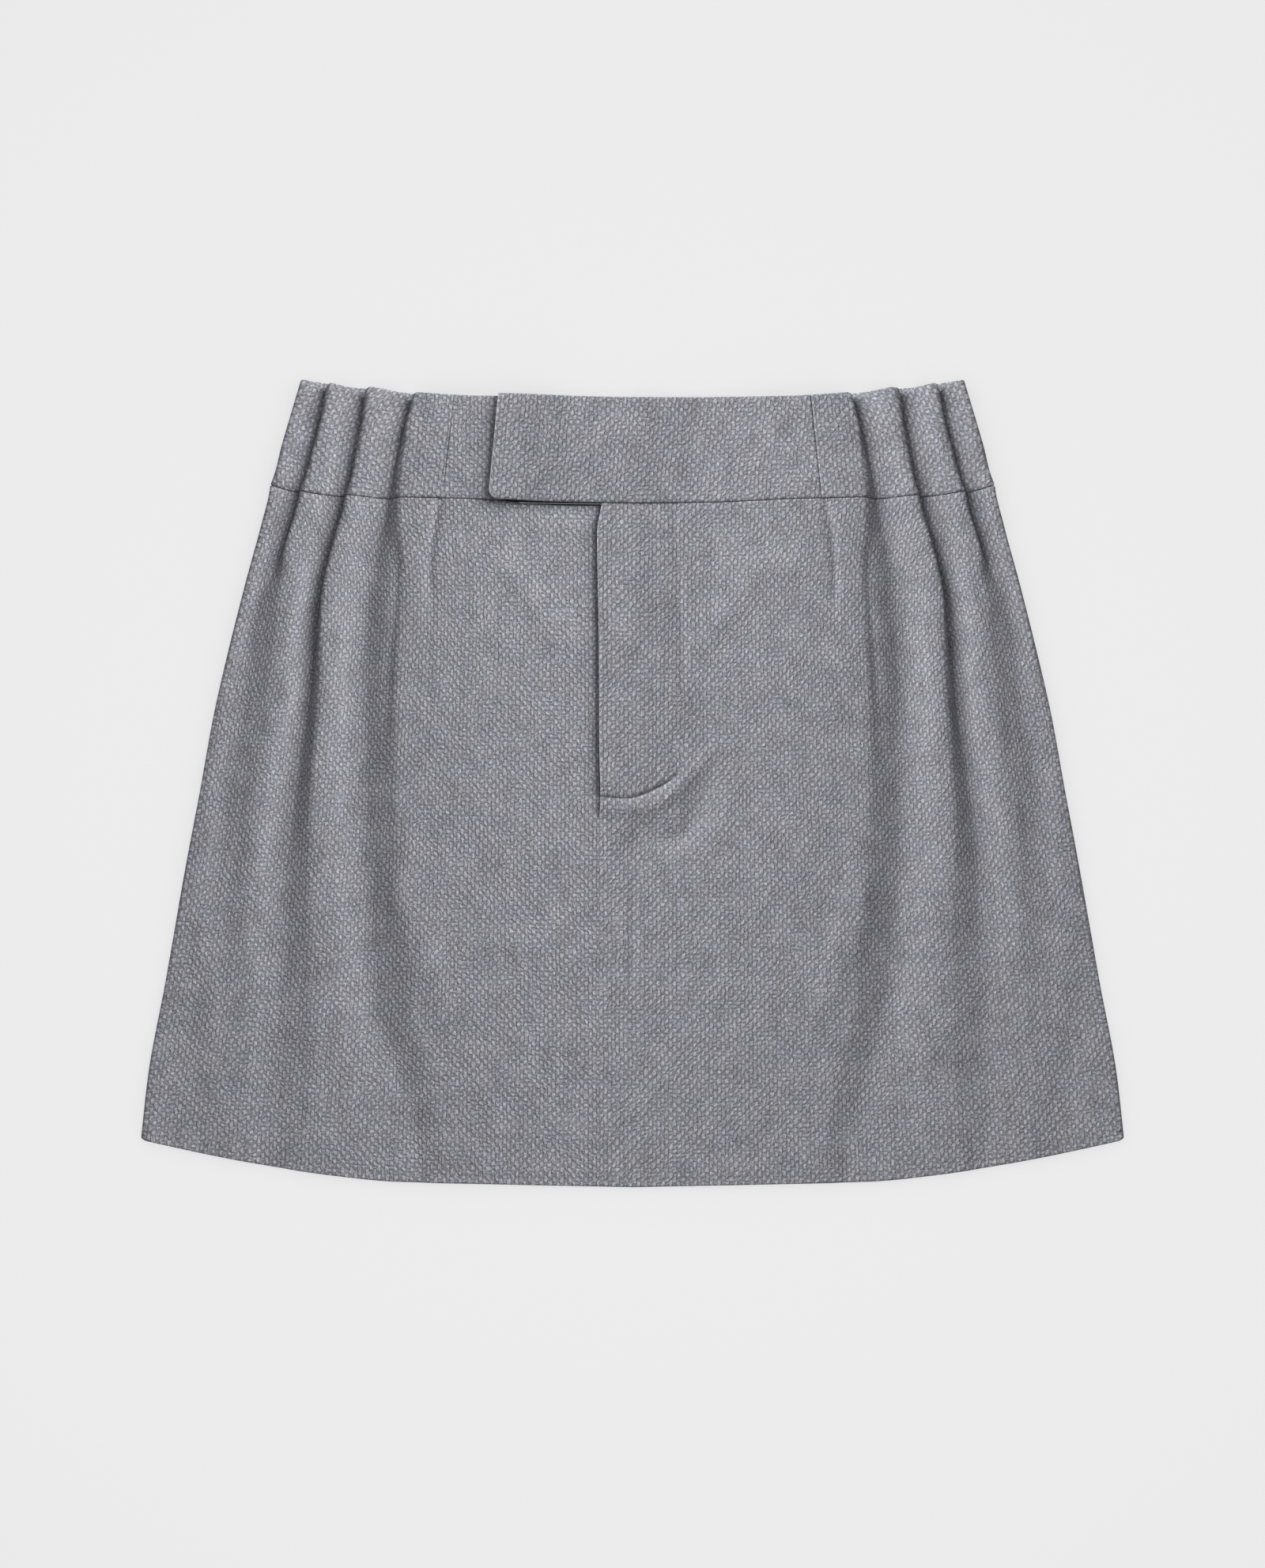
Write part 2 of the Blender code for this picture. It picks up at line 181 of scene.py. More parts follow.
# Cloth before each pleat and before the side fold: station, share of its way that stays low, share of its rise
# that it has there, share of its way where it is level again
GAPS = (
    ((0.0, 0.02, 0.0, 0.9), (2.0, 0.02, 0.0, 0.9)),
    (
        (0.0, 0.02, 0.0, 0.95),
        (0.6, 0.04, 0.0, 0.95),
        (0.85, 0.06, 0.0, 0.9),
        (0.93, 0.12, 0.12, 0.95),
        (1.0, 0.34, 0.24, 0.97),
        (2.0, 0.36, 0.28, 0.97),
    ),
    (
        (0.0, 0.02, 0.0, 0.97),
        (0.5, 0.06, 0.0, 0.97),
        (0.62, 0.12, 0.0, 0.9),
        (0.72, 0.22, 0.02, 0.8),
        (0.8, 0.24, 0.05, 0.8),
        (0.86, 0.22, 0.12, 0.85),
        (0.95, 0.26, 0.2, 0.97),
        (1.0, 0.36, 0.2, 0.97),
        (2.0, 0.38, 0.25, 0.97),
    ),
    ((0.0, 0.02, 0.0, 0.9), (0.8, 0.04, 0.0, 0.9), (0.9, 0.5, 0.35, 0.97), (2.0, 0.5, 0.45, 0.97)),
)
GAP_STEPS, GAP_END = 14, 1.001
# Cloth before a fold stays at least at this share of the ridge before it; between these stations that fades
RIDGE_SHARE = 0.45
RIDGE_FADE = (0.8, 0.95)

# Front panels: where the plain part ends, and the places across between which it rises to the first pleat
PANEL_END = 90.0
PANEL_RISE_ACROSS = (10.0, 104.0)
# Station, height of the panel's puff
PANEL_PUFF = ((0.0, 0.0), (0.06, 0.7), (0.2, 1.9), (0.45, 2.8), (0.8, 2.8), (0.92, 1.7), (1.0, 0.0))
# Lift of the body where it meets the thicker waistband, from this station on
BODY_SEAM_LIFT, SEAM_LIFT_FROM = 0.7, 0.93

# Fly: the left front's edge under it and where that begins, the stations where the lap lifts, its height
UNDERLAP_EDGE, UNDERLAP_STATIONS = 4.0, (0.605, 0.625)
FLY_STATIONS, FLY_LIFT = (0.53, 0.60), 2.3
# Place across, share of the lap's height
FLY_SHAPE = ((-20.0, 1.22), (-12.0, 1.08), (-4.0, 1.0), (14.0, 0.72), (26.0, 0.35), (44.0, 0.0), (60.0, 0.0))
# Station, how far the right front reaches over the centre line
LAP_EDGE = ((0.0, 17.0), (0.53, 17.0), (0.565, 16.2), (0.66, 16.8), (0.77, 16.9), (0.957, 17.8), (1.0, 15.4))

# Waistband: vertical seams and tab end, each at the band's lower and upper edge
BAND_SIDE_SEAM = (95.4, 89.8)
TAB_END = (72.2, 67.6)
TAB_LIFT = 2.7
# Distance from the centre line towards the tab's end, share of the tab's lift
TAB_SHAPE = ((-80.0, 0.0), (-60.0, 0.0), (-36.0, 0.12), (-16.0, 0.75), (-4.0, 1.0), (73.0, 1.0))
TAB_CORNER_RADIUS = 5.0
TAB_TOP_RISE = 1.0
LEFT_BAND_END = 2.0
# Distance from the centre line, drop of the left front's edge under the tab. The left band's lower edge is raised
# by so many times this drop.
TAB_SLIT = ((10.0, 0.0), (17.0, 1.1), (34.0, 1.3), (52.0, 0.9), (66.0, 0.0))
SLIT_RAISE = 2.0
# Distance from the centre line, rise of the left band beside and under the tab. Then its share at the waist edge.
LEFT_BAND_SHAPE = ((0.0, 0.0), (24.0, 0.6), (44.0, 2.6), (58.0, 4.6), (72.0, 5.4), (84.0, 5.2), (97.0, 5.6))
LEFT_BAND_WAIST_SHARE = 0.85
# Depth of the band, cloth coordinates where its sides and the tab begin, height from which it has its full waves
BAND_DEPTH = 54.0
SIDE_CLOTH_START, TAB_CLOTH_START = 95.0, -60.0
FULL_WAVE_LEVEL = 3.9

# Soft creases in the body: height (a trough's is negative), half width, then the points (x, y) that they run through.
# Both sides have those of the first table, where x is the distance from the centre; the right front has the others.
SIDE_CREASES = (
    (-1.3, 1.6, ((96.0, 148.0), (99.0, 134.0), (101.2, 118.0), (102.0, 100.0), (101.6, 78.0))),
    (-1.1, 2.6, ((119.0, 130.0), (118.5, 108.0), (119.5, 88.0), (121.5, 66.0), (123.0, 44.0), (125.0, 0.0))),
    (0.9, 9.0, ((122.0, -35.0), (112.0, -67.0), (100.0, -103.0), (86.0, -132.0))),
    (0.9, 9.0, ((144.0, -40.0), (146.0, -80.0), (144.0, -120.0), (138.0, -160.0))),
    (-0.8, 7.0, ((196.0, 0.0), (200.0, -40.0), (203.0, -80.0), (204.0, -130.0), (205.0, -165.0))),
    (0.7, 8.0, ((214.0, 0.0), (218.0, -50.0), (216.0, -110.0), (212.0, -150.0))),
    (0.6, 6.0, ((70.0, 120.0), (50.0, 90.0), (30.0, 62.0))),
)
FRONT_CREASES = (
    (-1.5, 0.9, ((-24.0, -6.2), (-14.8, -6.6), (-2.8, -7.4), (5.2, -5.4), (18.8, 1.4), (28.0, 9.0))),
    (0.9, 3.8, ((-22.0, -12.0), (-15.0, -12.4), (5.2, -12.6), (18.8, -6.4), (37.2, 13.4), (50.0, 24.0))),
    (-1.5, 6.5, ((-6.0, -24.0), (4.0, -27.0), (16.0, -30.0), (28.0, -24.0), (36.0, -8.0), (46.0, 6.0))),
    (-0.5, 2.0, ((0.0, -44.0), (0.0, -60.0), (-0.5, -84.0), (-2.0, -116.0))),
    (-0.45, 1.4, ((21.2, 148.0), (21.4, 128.0), (24.2, 96.0), (25.2, 60.0), (27.0, 24.0))),
    (0.7, 7.0, ((0.0, 142.0), (0.0, 110.0), (2.0, 50.0))),
)
# Points along a crease, shares of its length between which it comes and goes
CREASE_STEPS = 24
CREASE_FADE_IN, CREASE_FADE_OUT = (0.0, 0.2), (0.7, 1.0)
LOWEST_RELIEF = -0.2

# Slow waves: height, shortest and longest, number, seed of their directions and lengths
WAVE_RISE = 0.15
WAVE_LENGTHS = (36.0, 120.0)
WAVE_COUNT = 14
WAVE_SEED = 11

# Stitched line along the hem: distance from the hem, depth, half width
HEM_LINE = (3.4, 0.15, 0.7)

# Meshes: size of a cell, steps beside an edge, extra rows of the fronts by their distance from the hem
CELL, PANEL_CELL, BACK_CELL = 1.72, 1.4, 3.0
EDGE_STEPS = np.array([0.0, 0.08, 0.3, 1.0])
HEM_LINE_ROWS = np.array([2.4, 2.9, 3.4, 3.9, 4.4])
FLY_END_ROWS = np.arange(192.0, 214.0, 0.7)
# Lengths that the cells divide: along the front, across both plain bands, along and across the back
BODY_LENGTH = 347.0
LEFT_BAND_LENGTH, TAB_LENGTH = 90.0, 165.0
BACK_LENGTH, BACK_BAND_LENGTH, BACK_WIDTH = 350.0, 60.0, 400.0
# How far the back stays inside the side folds
BACK_INSET = 2.7

# Rounding of the cut edges, as shares of half the wall; a hidden seam's is small and a fold's is 0
EDGE_ROUNDING = 0.95
HEM_ROUNDING, SEAM_ROUNDING, WAIST_ROUNDING = 0.6, 0.6, 0.7
CENTRE_SEAM_ROUNDING, LAP_ROUNDING, HIDDEN_ROUNDING = 0.06, 0.25, 0.25

# Cloth coordinates of the body: its half width at the side fold, and the bend of the weft towards the sides
UV_BODY_WIDTH = 252.0
UV_ROW_BEND = 1.975e-4

# Sheets: width and height of each piece laid flat, in metres
SIDE_BAND_FLAT = (0.18, 0.06)
LEFT_BAND_FLAT = (0.095, 0.056)
TAB_FLAT = (0.17, 0.056)

# Weave. Offsets of the yarns and of their fibres: scale and detail of the noise, and the fibres' reach in metres
YARN_STRAY = (90.0, 2.0)
FIBRE_STRAYS = ((480.0, 1.0, 0.0017), (1500.0, 2.0, 0.0009))
# Noises: scale, detail
LEAN_NOISE, STREAK_NOISE = (45.0, 1.0), (1.0, 1.0)
FIBRE_NOISE, CLOUD_NOISE, TINT_NOISE = (1000.0, 3.0), (85.0, 5.0), (70.0, 4.0)
NOISE_RANGE, LEAN_RANGE = (0.34, 0.66), (-0.2, 0.14)
TINT_OFFSET = (3.0, 1.0, 0.0)
# A float's height falls off between these distances from its middle, along it and across it; the weft shows beyond
FLOAT_ENDS, FLOAT_SIDES, WEFT_SHOWS, WEFT_HEIGHT = (0.2, 0.8), (0.2, 0.52), (0.74, 1.04), 0.44
# Place of a yarn in the noise of its streaks: step from end to end, step along it, level
STREAK_STEPS = (0.61, 0.09, 3.0)
# How much each part has in the float's length, the height, the shade and the tint
CHANCE_IN_LENGTH, CHANCE_IN_SHADE, CHANCE_IN_TINT = 0.5, 0.7, 0.3
STREAK_IN_SHADE, FIBRE_IN_SHADE, CLOUD_IN_SHADE = 0.7, 3.6, 1.1
FIBRE_IN_HEIGHT = 1.2

# Studio, in metres
CAMERA_HEIGHT, CAMERA_Y, CLOTH_LEVEL = 1.2, -0.0002, 0.004
CAMERA_LENS, CAMERA_SENSOR = 54.4, 36.0
KEY_PLACE, KEY_SIZE = (1.6, 1.15, 1.1), 1.5
TABLE_LIGHT_PLACE, TABLE_LIGHT_SIZE = (0.0, 0.0, 2.4), 3.0
TABLE_SIZE = 6.0


def curve(table, at, column=1):
    """A column of the table at one or more places, by a monotone cubic through its rows."""
    rows = np.asarray(table, float)
    x, y = rows[:, 0], rows[:, column]
    at = np.clip(np.asarray(at, float), x[0], x[-1])
    steps = np.diff(x)
    slopes = np.diff(y) / steps
    product = slopes[:-1] * slopes[1:]
    rising = product > 0
    inner = np.where(rising, 2 * product / np.where(rising, slopes[:-1] + slopes[1:], 1.0), 0.0)
    tangents = np.concatenate([slopes[:1], inner, slopes[-1:]])
    i = np.clip(np.searchsorted(x, at, side="right") - 1, 0, len(x) - 2)
    t = (at - x[i]) / steps[i]
    start = (1 + 2 * t) * (1 - t) ** 2 * y[i] + t * (1 - t) ** 2 * steps[i] * tangents[i]
    return start + t * t * (3 - 2 * t) * y[i + 1] + t * t * (t - 1) * steps[i] * tangents[i + 1]


def ease(value, low, high):
    """0 below low, 1 above high and a soft step between them."""
    t = np.clip((np.asarray(value, float) - low) / (high - low), 0.0, 1.0)
    return t * t * (3 - 2 * t)


def mix(start, end, share):
    """From start to end by this share."""
    return start + (end - start) * share


def spread(start, end, count):
    """Points from start to end in even steps, without the start."""
    return np.linspace(start, end, count + 1)[1:]


def edged_steps(length, cell, both=True):
    """Shares from 0 to 1 with small steps at the edges, for their rounding, and even ones between."""
    close = EDGE_STEPS / length
    end = 1 - close[::-1] if both else np.array([1.0])
    count = max(int(length / cell), 2)
    return np.concatenate([close, np.linspace(close[-1], end[0], count + 1)[1:-1], end])


def soften(values, passes):
    """Draw each value or point, but for the two ends, towards its neighbours."""
    for _ in range(passes):
        values[1:-1] = (values[:-2] + 2 * values[1:-1] + values[2:]) / 4


def pleat_fold(pleat, station, wall):
    """Outline of a pleat from its nose over the fold, the underlay and the tuck to its foot, as rows (x, rise)."""
    fold, top, degrees, depth, level = [float(curve(pleat, station, column)) for column in range(1, 6)]
    turn, rise = math.radians(degrees), top - level
    share = float(curve(STRAIGHT_SHARES, degrees))
    straight = depth + share * rise * (math.sin(turn) if degrees > 90 else 1 / math.sin(turn))
    both = (rise - straight * math.sin(turn)) / (1 - math.cos(turn))
    roll = both * float(curve(ROLL_SHARES, degrees))
    tight = both - roll
    run = both * math.sin(turn) + straight * math.cos(turn)
    nose = fold - mix(run, roll + wall / 2, (1 - math.cos(turn)) / 2)
    tuck = nose + run
    angles = np.linspace(0.0, turn, ROLL_STEPS)
    back = angles[::-1]
    over = np.stack([nose + roll * np.sin(angles), top - roll * (1 - np.cos(angles))], 1)
    under = np.stack([tuck - tight * np.sin(back), level + tight * (1 - np.cos(back))], 1)
    middle = [mix(over[-1], under[0], part) for part in (1 / 3, 2 / 3)]
    foot = [(mix(tuck, fold + FOOT_RUN, part), level) for part in (1 / 3, 2 / 3, 1.0)]
    return np.vstack([over, middle, under, foot])


def side_turn(station, base, wall):
    """Outline of the side fold from its crown down to the table."""
    middle, rise = float(curve(SIDE_FOLD, station)) - wall / 2, float(curve(SIDE_FOLD, station, 2))
    angles = np.linspace(0.0, math.pi / 2, SIDE_TURN_STEPS)
    x = middle + SIDE_TURN_RADIUS * (np.sin(angles) - 1)
    z = rise - SIDE_TURN_RADIUS * (1 - np.cos(angles))
    down = spread(z[-1], -base, SIDE_DOWN_STEPS)
    return np.vstack([np.stack([x, z], 1), np.stack([np.full(len(down), middle), down], 1)])


def pleated_section(plain, station, base, wall):
    """Section (x, rise, 1 in a pleat) that goes on from the plain points through the pleats to the table."""
    folds = [pleat_fold(pleat, station, wall) for pleat in PLEATS] + [side_turn(station, base, wall)]
    parts = [np.column_stack([plain, np.zeros(len(plain))])]
    ridge = 0.0
    for i, (fold, gap) in enumerate(zip(folds, GAPS)):
        start, end = parts[-1][-1][:2], fold[0]
        low, step, level = [float(curve(gap, station, column)) for column in range(1, 4)]
        top = max(end[1], RIDGE_SHARE * ridge)
        shape = ((0.0, 0.0), (low, step), (level, 1.0), (1.0, 1.0))
        share = spread(0.0, 1.0, GAP_STEPS)[:-1]
        rise = mix(start[1], mix(top, end[1], ease(share, level, GAP_END)), curve(shape, share))
        climb = np.stack([mix(start[0], end[0], share), rise], 1)
        parts.append(np.column_stack([climb, np.full(len(climb), float(i > 0))]))
        parts.append(np.column_stack([fold, np.ones(len(fold))]))
        ridge = end[1] * (1 - float(ease(station, *RIDGE_FADE)))
    section = np.vstack(parts)
    soften(section[len(plain) - 1 :, :2], SOFTEN_PASSES)
    return section


def body_base(station, wall):
    """Middle of the body's plain panel; it is lifted where it meets the thicker waistband."""
    return wall * 1.5 + LAY_GAP + BODY_SEAM_LIFT * float(ease(station, SEAM_LIFT_FROM, 1.0))


def shortfall(section):
    """How far a layer's edge stays behind the edge of the face."""
    return LAYER_SHORTFALL * (PLEAT_RISE - section[:, 1]) * section[:, 2]


def corner(distance, radius):
    """How far a rounded corner has left its edge, at this distance from the other edge."""
    inside = np.maximum(radius - distance, 0.0)
    return radius - np.sqrt(np.maximum(radius * radius - inside * inside, 0.0))


def crease_run(points):
    """The points of a crease, on a soft curve and a few millimetres apart."""
    steps = np.arange(len(points), dtype=float)
    table = np.column_stack([steps, np.asarray(points, float)])
    at = np.linspace(0.0, steps[-1], CREASE_STEPS)
    return np.stack([curve(table, at, 1), curve(table, at, 2)], 1)


def crease(x, y, depth, half_width, points):
    """Height that a crease adds at each place: full in its middle, nothing at its ends and sides."""
    run = crease_run(points)
    nearest = np.full(x.shape, np.inf)
    share = np.zeros(x.shape)
    for i, (start, end) in enumerate(zip(run, run[1:])):
        along = end - start
        t = np.clip(((x - start[0]) * along[0] + (y - start[1]) * along[1]) / (along @ along), 0.0, 1.0)
        away = np.hypot(x - start[0] - t * along[0], y - start[1] - t * along[1])
        closer = away < nearest
        nearest = np.where(closer, away, nearest)
        share = np.where(closer, (i + t) / (CREASE_STEPS - 1), share)
    fade = ease(share, *CREASE_FADE_IN) * (1 - ease(share, *CREASE_FADE_OUT))
    return depth * fade * np.exp(-((nearest / half_width) ** 2))


def waves(x, y):
    """Slow, uneven waves of cloth that has been worn and laid out by hand."""
    chance = np.random.default_rng(WAVE_SEED)
    height = np.zeros(x.shape)
    for _ in range(WAVE_COUNT):
        turn, phase = chance.uniform(0, math.tau, 2)
        length = chance.uniform(*WAVE_LENGTHS)
        height += np.sin((x * math.cos(turn) + y * math.sin(turn)) * math.tau / length + phase)
    return height * WAVE_RISE / math.sqrt(WAVE_COUNT)


def body_relief(x, y, side, depth_share):
    """Height of the body's soft relief over its plain form, at places in the skirt's own plane."""
    across = np.abs(x)
    from_hem = y - curve(HEM_EDGE, across)
    height = waves(x, y)
    for depth, half_width, points in SIDE_CREASES:
        height += crease(across, y, depth * depth_share, half_width, points)
    if side > 0:
        for depth, half_width, points in FRONT_CREASES:
            height += crease(x, y, depth * depth_share, half_width, points)
    line, depth, half_width = HEM_LINE
    height -= depth * depth_share * np.exp(-(((from_hem - line) / half_width) ** 2))
    return height


def arc_lengths(points):
    """Length of the line up to each of its points."""
    return np.concatenate([[0.0], np.cumsum(np.linalg.norm(np.diff(points, axis=0), axis=1))])


class Cloth:
    """Middle surface of a piece: places (rows, columns, 3), cloth coordinates and distance to its cut edges."""

    def __init__(self, places, cloth, edge):
        self.places = places
        self.cloth = cloth
        self.edge = edge


def edge_distance(places, shares):
    """Distance of each point to the nearest of the piece's edges: first row, last row, first column, last.

    An edge is rounded by its share; an edge whose share is 0 isn't rounded.
    """
    down = np.linalg.norm(np.diff(places, axis=0), axis=2)
    over = np.linalg.norm(np.diff(places, axis=1), axis=2)
    rows, columns = places.shape[:2]
    from_first = np.vstack([np.zeros((1, columns)), np.cumsum(down, axis=0)])
    from_start = np.hstack([np.zeros((rows, 1)), np.cumsum(over, axis=1)])
    distances = (from_first, from_first[-1] - from_first, from_start, from_start[:, -1:] - from_start)
    return np.min([d / share for d, share in zip(distances, shares) if np.any(share)], axis=0)


def panel_rise(station, x):
    """Rise of the plain panel: it is puffed up in its middle and slopes up to the first pleat."""
    puff = float(curve(PANEL_PUFF, station))
    edge = float(curve(INNER_PLEAT, station, 2))
    return puff + (edge - puff) * ease(x, *PANEL_RISE_ACROSS)


def front_section(side, station, wall):
    """Section of a front from the fly's edge or the underlap's, over the plain panel and the pleats, to the table."""
    lap = float(curve(LAP_EDGE, station))
    underlap = mix(lap + EDGE_GAP, UNDERLAP_EDGE, float(ease(station, *UNDERLAP_STATIONS)))
    x = mix(-lap if side > 0 else underlap, PANEL_END, edged_steps(PANEL_END, PANEL_CELL, both=False))
    rise = panel_rise(station, x)
    if side > 0:
        rise = rise + FLY_LIFT * float(ease(station, *FLY_STATIONS)) * curve(FLY_SHAPE, x)
    return pleated_section(np.stack([x, rise], 1), station, body_base(station, wall), wall)


def body_cloth(side, wall, depth_share):
    """Middle surface of a front: side is 1 for +X and -1 for -X."""
    extra_rows = np.concatenate([HEM_LINE_ROWS, FLY_END_ROWS]) / BODY_LENGTH
    stations = np.union1d(edged_steps(BODY_LENGTH, CELL), extra_rows)
    sections = [front_section(side, station, wall) for station in stations]
    low = curve(HEM_EDGE, np.abs(sections[0][:, 0]))
    low = low + corner(SIDE_FOLD[0][1] - np.abs(sections[0][:, 0]), HEM_CORNER_RADIUS)
    high = curve(BAND_SEAM, np.abs(sections[-1][:, 0])) - shortfall(sections[-1]) - SEAM_GAP / 2
    if side < 0:
        high = high - curve(TAB_SLIT, sections[-1][:, 0])
    rows, cloth = [], []
    for s, section in zip(stations, sections):
        base, rise = body_base(s, wall), section[:, 1]
        x, y = side * section[:, 0], mix(low, high, s)
        lifted = np.maximum(rise + body_relief(x, y, side, depth_share), LOWEST_RELIEF)
        z = base + np.where(rise >= 0, lifted, rise)
        length = arc_lengths(section[:, :2])
        length = length - np.interp(0.0, section[:, 0], length) if side > 0 else length + section[0, 0]
        u = side * (length + (UV_BODY_WIDTH - length[-1]) * (length / length[-1]) ** 2)
        rows.append(np.stack([x, y, z], 1))
        cloth.append(np.stack([u, y - UV_ROW_BEND * u * u], 1))
    places = np.array(rows)
    rounding = mix(CENTRE_SEAM_ROUNDING, LAP_ROUNDING, ease(stations, *FLY_STATIONS))[:, None]
    edge = edge_distance(places, (HEM_ROUNDING, SEAM_ROUNDING, rounding, 0.0))
    return Cloth(places, np.array(cloth), edge)


def lobe_drop(section, wall):
    """How far the waist edge curves down where each lobe comes out from under the fold before it."""
    x, drop = section[:, 0], np.zeros(len(section))
    for pleat in PLEATS:
        fold = float(curve(pleat, 2.0))
        passed = np.cumsum(x >= fold - wall / 2 - FOLD_TOLERANCE) > 0
        beside = LOBE_DROP * corner(x - fold, LOBE_WIDTH) / LOBE_WIDTH
        drop = np.where(passed, np.maximum(drop * (x < fold), beside), drop)
    soften(drop, LOBE_SOFTEN_PASSES)
    return drop * section[:, 2]


def band_cloth(sections, side, wall, cloth_start, proud=None):
    """Middle surface of a waistband piece through its sections, from the lower to the upper edge."""
    shares = edged_steps(BAND_DEPTH, CELL)
    low = curve(BAND_SEAM, np.abs(sections[0][:, 0])) - shortfall(sections[0]) + SEAM_GAP / 2
    waist = sections[-1]
    notch = WAIST_NOTCH * np.maximum(waist[:, 1].max() - waist[:, 1], 0.0) * waist[:, 2]
    high = curve(WAIST_EDGE, np.abs(waist[:, 0])) - notch - lobe_drop(waist, wall)
    rows, cloth = [], []
    for share, section in zip(shares, sections):
        x, y = side * section[:, 0], mix(low, high, share)
        z = wall * 1.5 + LAY_GAP + section[:, 1]
        if proud is not None:
            y = y + proud(section[:, 0], share)
        z = z + np.maximum(waves(x, y), LOWEST_RELIEF) * np.clip(z / FULL_WAVE_LEVEL, 0.0, 1.0)
        length = arc_lengths(section[:, :2])
        rows.append(np.stack([x, y, z], 1))
        cloth.append(np.stack([cloth_start + side * length, np.full(len(x), BAND_DEPTH * share)], 1))
    return np.array(rows), np.array(cloth)


def band_stations():
    """Stations from the waistband's lower edge to its upper one."""
    return 1 + edged_steps(BAND_DEPTH, CELL)


def left_band_rise(station, x):
    """Rise of the band beside and under the tab, at these distances from the centre."""
    return curve(LEFT_BAND_SHAPE, x) * mix(1.0, LEFT_BAND_WAIST_SHARE, station - 1)


def side_band(side, wall):
    """Middle surface of a side of the waistband, from its vertical seam through the pleats to the side fold."""
    sections = []
    for s in band_stations():
        start = mix(*BAND_SIDE_SEAM, s - 1) + EDGE_GAP / 2
        x = start + EDGE_STEPS
        plain = np.stack([x, panel_rise(s, x)], 1)
        sections.append(pleated_section(plain, s, wall * 1.5 + LAY_GAP, wall))
    places, cloth = band_cloth(sections, side, wall, side * SIDE_CLOTH_START)
    seam = HIDDEN_ROUNDING if side > 0 else 0.0
    return Cloth(places, cloth, edge_distance(places, (SEAM_ROUNDING, WAIST_ROUNDING, seam, 0.0)))


def left_front_band(wall):
    """Middle surface of the plain left front of the waistband, which ends under the tab."""
    sections = []
    for s in band_stations():
        end = mix(*BAND_SIDE_SEAM, s - 1) - EDGE_GAP / 2
        x = mix(LEFT_BAND_END, end, edged_steps(LEFT_BAND_LENGTH, CELL))
        rise = left_band_rise(s, x)
        sections.append(np.stack([x, rise, np.zeros(len(x))], 1))

    def raised(x, share):
        """How far the lower edge is raised under the tab, out of sight in the slit."""
        return SLIT_RAISE * curve(TAB_SLIT, x) * (1 - share)

    places, cloth = band_cloth(sections, -1, wall, 0.0, raised)
    return Cloth(places, cloth, edge_distance(places, (SEAM_ROUNDING, WAIST_ROUNDING, 1.0, 0.0)))


def tab_band(wall):
    """The right front band, measured towards the left: its tab end is rounded below and stands proud above."""
    sections = []
    for s in band_stations():
        end, seam = mix(*TAB_END, s - 1), -mix(*BAND_SIDE_SEAM, s - 1) + EDGE_GAP / 2
        x = mix(end, seam, edged_steps(TAB_LENGTH, CELL))
        under = np.where(x > 0, left_band_rise(s, x), panel_rise(s, -x))
        rise = TAB_LIFT * curve(TAB_SHAPE, x) + under
        sections.append(np.stack([x, rise, np.zeros(len(x))], 1))

    def proud(x, share):
        """How far the lower corner is rounded off and the upper edge stands above the band's."""
        end = x[0]
        return corner(end - x, TAB_CORNER_RADIUS) * (1 - share) + TAB_TOP_RISE * ease(x, 0.0, end) * share

    places, cloth = band_cloth(sections, -1, wall, TAB_CLOTH_START, proud)
    edge = edge_distance(places, (SEAM_ROUNDING, WAIST_ROUNDING, LAP_ROUNDING, HIDDEN_ROUNDING))
    return Cloth(places[:, ::-1], cloth[:, ::-1], edge[:, ::-1])


def flat_cloth(lower, upper, stations, wall, low_gap, high_gap):
    """Middle surface of a flat back layer between two edges."""
    shares = edged_steps(BACK_BAND_LENGTH if stations[0] else BACK_LENGTH, BACK_CELL)
    across = 2 * edged_steps(BACK_WIDTH, BACK_CELL) - 1
    rows, cloth = [], []
    for share in shares:
        station = mix(*stations, share)
        half, half_low, half_high = [float(curve(SIDE_FOLD, s)) - BACK_INSET for s in (station, *stations)]
        low = curve(lower, np.abs(across) * half_low) + low_gap
        high = curve(upper, np.abs(across) * half_high) - high_gap
        y = mix(low, high, share)
        rows.append(np.stack([across * half, y, np.full(len(y), wall / 2)], 1))
        cloth.append(np.stack([across * half, y], 1))
    places = np.array(rows)
    return Cloth(places, np.array(cloth), edge_distance(places, (1.0, 1.0, 1.0, 1.0)))


def surface_normals(places):
    """Direction at right angles to the surface at each point."""
    normals = np.cross(np.gradient(places, axis=1), np.gradient(places, axis=0))
    return normals / np.maximum(np.linalg.norm(normals, axis=2, keepdims=True), 1e-9)


